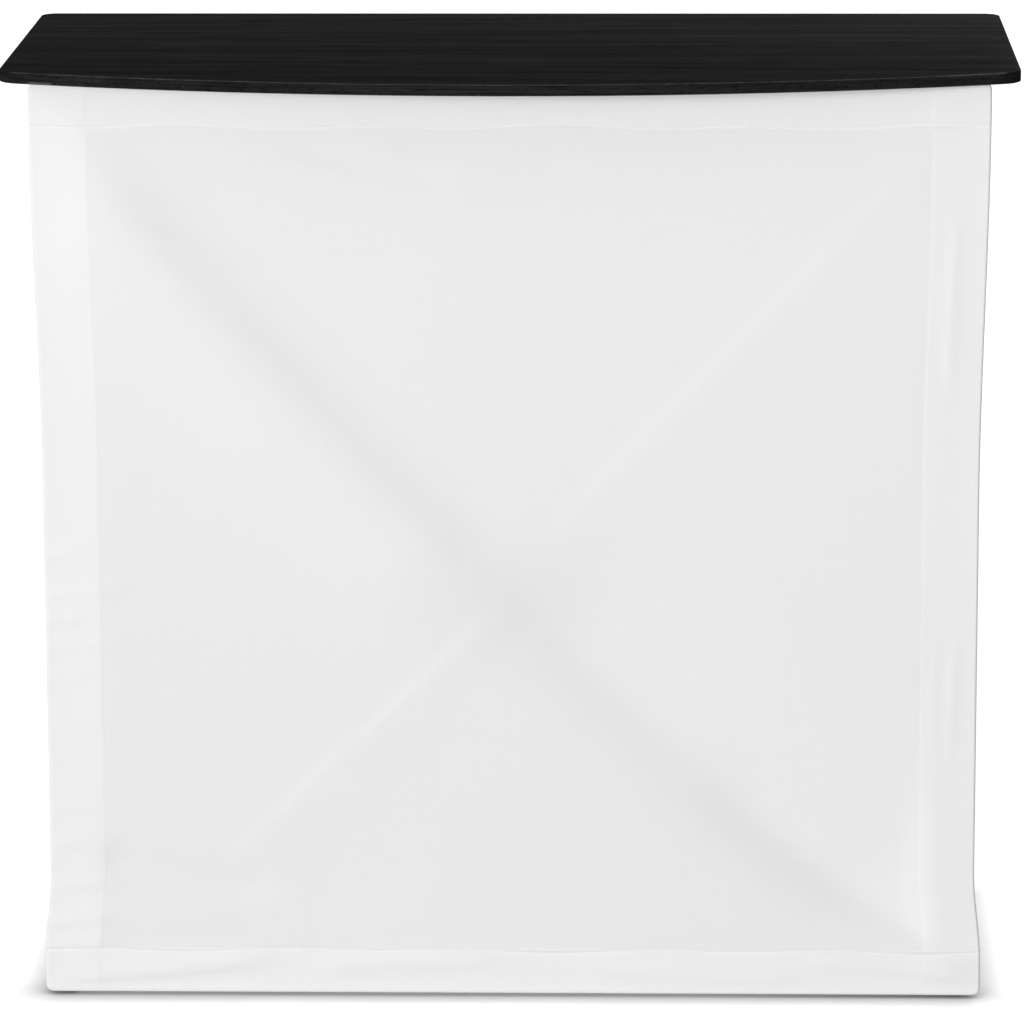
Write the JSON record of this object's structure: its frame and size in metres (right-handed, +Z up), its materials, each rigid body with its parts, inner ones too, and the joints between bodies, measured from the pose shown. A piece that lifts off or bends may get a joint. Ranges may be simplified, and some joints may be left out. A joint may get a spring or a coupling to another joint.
{
  "type": "folding portable bar",
  "caption": "Portable serving bar: a bow-fronted black board on a folding frame of a front panel and hinged wings covered in stretched white cloth, open at the back.",
  "frame": {"origin": "on the floor, under the middle of the board's box", "axes": "+X to the guests' right as they face the bar, +Y from the guests' side to the open back, +Z up"},
  "size_m": [1.06, 0.555, 1],
  "materials": {
    "board_veneer": "black stained open-grain veneer, satin lacquer",
    "white_cloth": "plain-woven white polyester, matt",
    "aluminium_tube": "satin anodised",
    "moulded_nylon": "fine moulded texture, off-white",
    "zinc_steel": "bright zinc plated",
    "foot_rubber": "matt grey",
    "hook_and_loop": "white hook and loop tape"
  },
  "bodies": {
    "front_panel": {"front_cloth": "white_cloth", "front_lower_rail": "aluminium_tube", "front_upper_rail": "aluminium_tube", "left_front_post": "aluminium_tube", "right_front_post": "aluminium_tube", "left_front_lower_fitting": "moulded_nylon", "left_front_upper_fitting": "moulded_nylon", "right_front_lower_fitting": "moulded_nylon", "right_front_upper_fitting": "moulded_nylon", "left_front_foot": "foot_rubber", "right_front_foot": "foot_rubber", "front_brace_strap": "zinc_steel", "back_brace_strap": "zinc_steel", "brace_rivet": "zinc_steel", "left_lower_brace_screw": "zinc_steel", "left_upper_brace_screw": "zinc_steel", "right_lower_brace_screw": "zinc_steel", "right_upper_brace_screw": "zinc_steel", "left_lower_hinge_post_leaf": "zinc_steel", "left_lower_hinge_pin": "zinc_steel", "left_upper_hinge_post_leaf": "zinc_steel", "left_upper_hinge_pin": "zinc_steel", "right_lower_hinge_post_leaf": "zinc_steel", "right_lower_hinge_pin": "zinc_steel", "right_upper_hinge_post_leaf": "zinc_steel", "right_upper_hinge_pin": "zinc_steel"},
    "left_wing": {"left_wing_cloth": "white_cloth", "left_wing_front_stile": "aluminium_tube", "left_wing_rear_stile": "aluminium_tube", "left_wing_lower_rail": "aluminium_tube", "left_wing_upper_rail": "aluminium_tube", "left_wing_front_lower_fitting": "moulded_nylon", "left_wing_front_upper_fitting": "moulded_nylon", "left_wing_rear_lower_fitting": "moulded_nylon", "left_wing_rear_upper_fitting": "moulded_nylon", "left_wing_front_foot": "foot_rubber", "left_wing_rear_foot": "foot_rubber", "left_hook_pad": "hook_and_loop", "left_lower_hinge_wing_leaf": "zinc_steel", "left_upper_hinge_wing_leaf": "zinc_steel"},
    "right_wing": {"right_wing_cloth": "white_cloth", "right_wing_front_stile": "aluminium_tube", "right_wing_rear_stile": "aluminium_tube", "right_wing_lower_rail": "aluminium_tube", "right_wing_upper_rail": "aluminium_tube", "right_wing_front_lower_fitting": "moulded_nylon", "right_wing_front_upper_fitting": "moulded_nylon", "right_wing_rear_lower_fitting": "moulded_nylon", "right_wing_rear_upper_fitting": "moulded_nylon", "right_wing_front_foot": "foot_rubber", "right_wing_rear_foot": "foot_rubber", "right_hook_pad": "hook_and_loop", "right_lower_hinge_wing_leaf": "zinc_steel", "right_upper_hinge_wing_leaf": "zinc_steel"},
    "board": {"top_board": "board_veneer", "left_peg_bush": "moulded_nylon", "right_peg_bush": "moulded_nylon", "left_loop_pad": "hook_and_loop", "right_loop_pad": "hook_and_loop"}
  },
  "joints": [
    {"name": "left_wing_fold", "type": "hinge", "parent": "front_panel", "child": "left_wing", "pos_m": [-0.4587, -0.13875, 0.5], "axis": [0, 0, -1], "range_deg": [0, 90]},
    {"name": "right_wing_fold", "type": "hinge", "parent": "front_panel", "child": "right_wing", "pos_m": [0.4587, -0.13875, 0.5], "axis": [0, 0, 1], "range_deg": [0, 90]},
    {"name": "board_lift", "type": "slide", "parent": "front_panel", "child": "board", "axis": [0, 0, 1], "range_m": [0, 0.25]}
  ]
}
